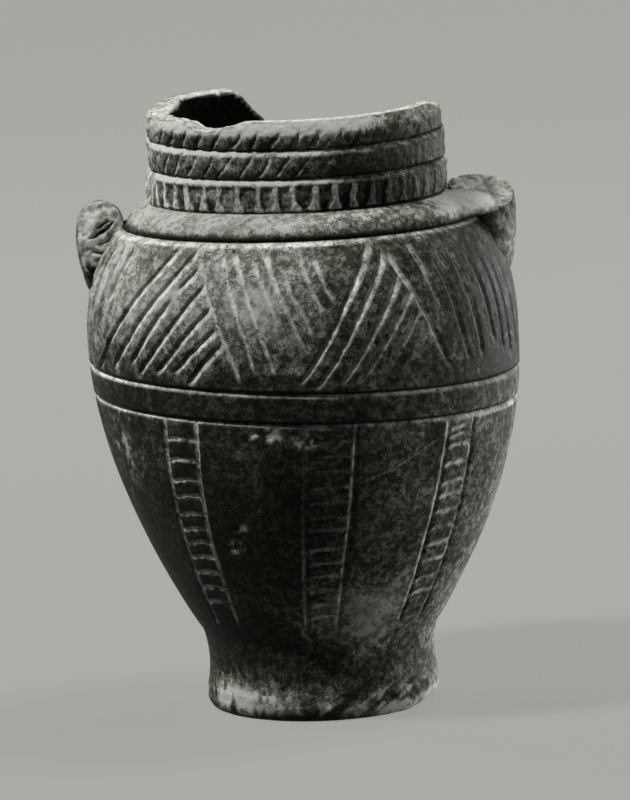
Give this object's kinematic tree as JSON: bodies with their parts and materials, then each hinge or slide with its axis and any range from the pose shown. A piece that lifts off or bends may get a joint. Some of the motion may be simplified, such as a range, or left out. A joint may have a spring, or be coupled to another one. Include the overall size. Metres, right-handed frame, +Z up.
{
  "type": "burnished pottery jar",
  "caption": "Small hand-built burnished jar with a hollow round body, notched rope bands round the neck, a plain girdle, a low foot, broken handle stubs at the shoulder and a broken rim",
  "frame": {"origin": "centre of the base on the surface that the jar stands on", "axes": "+Z up along the jar's axis, -Y the front as pictured, +X to the right in the front view, a handle stub on each side at -X and +X"},
  "size_m": [0.1102, 0.1078, 0.1519],
  "materials": {
    "burnished_clay": "dark burnished hand-built pottery with pale lime in its grooves",
    "base_clay": "dark smoothed pottery, unburnished and rubbed where it stands",
    "worn_clay": "pale rough pottery, broken or worn through the burnish"
  },
  "bodies": {
    "root": {"base_disc": "base_clay", "foot_bead": "base_clay", "foot_wall": "burnished_clay", "lower_wall": "burnished_clay", "girdle": "burnished_clay", "shoulder_wall": "burnished_clay", "neck_wall": "burnished_clay", "neck_roll": "burnished_clay", "notched_band": "burnished_clay", "middle_rope_band": "burnished_clay", "rim_rope_band": "burnished_clay", "left_handle_stub": "worn_clay", "right_handle_stub": "worn_clay"}
  },
  "joints": []
}
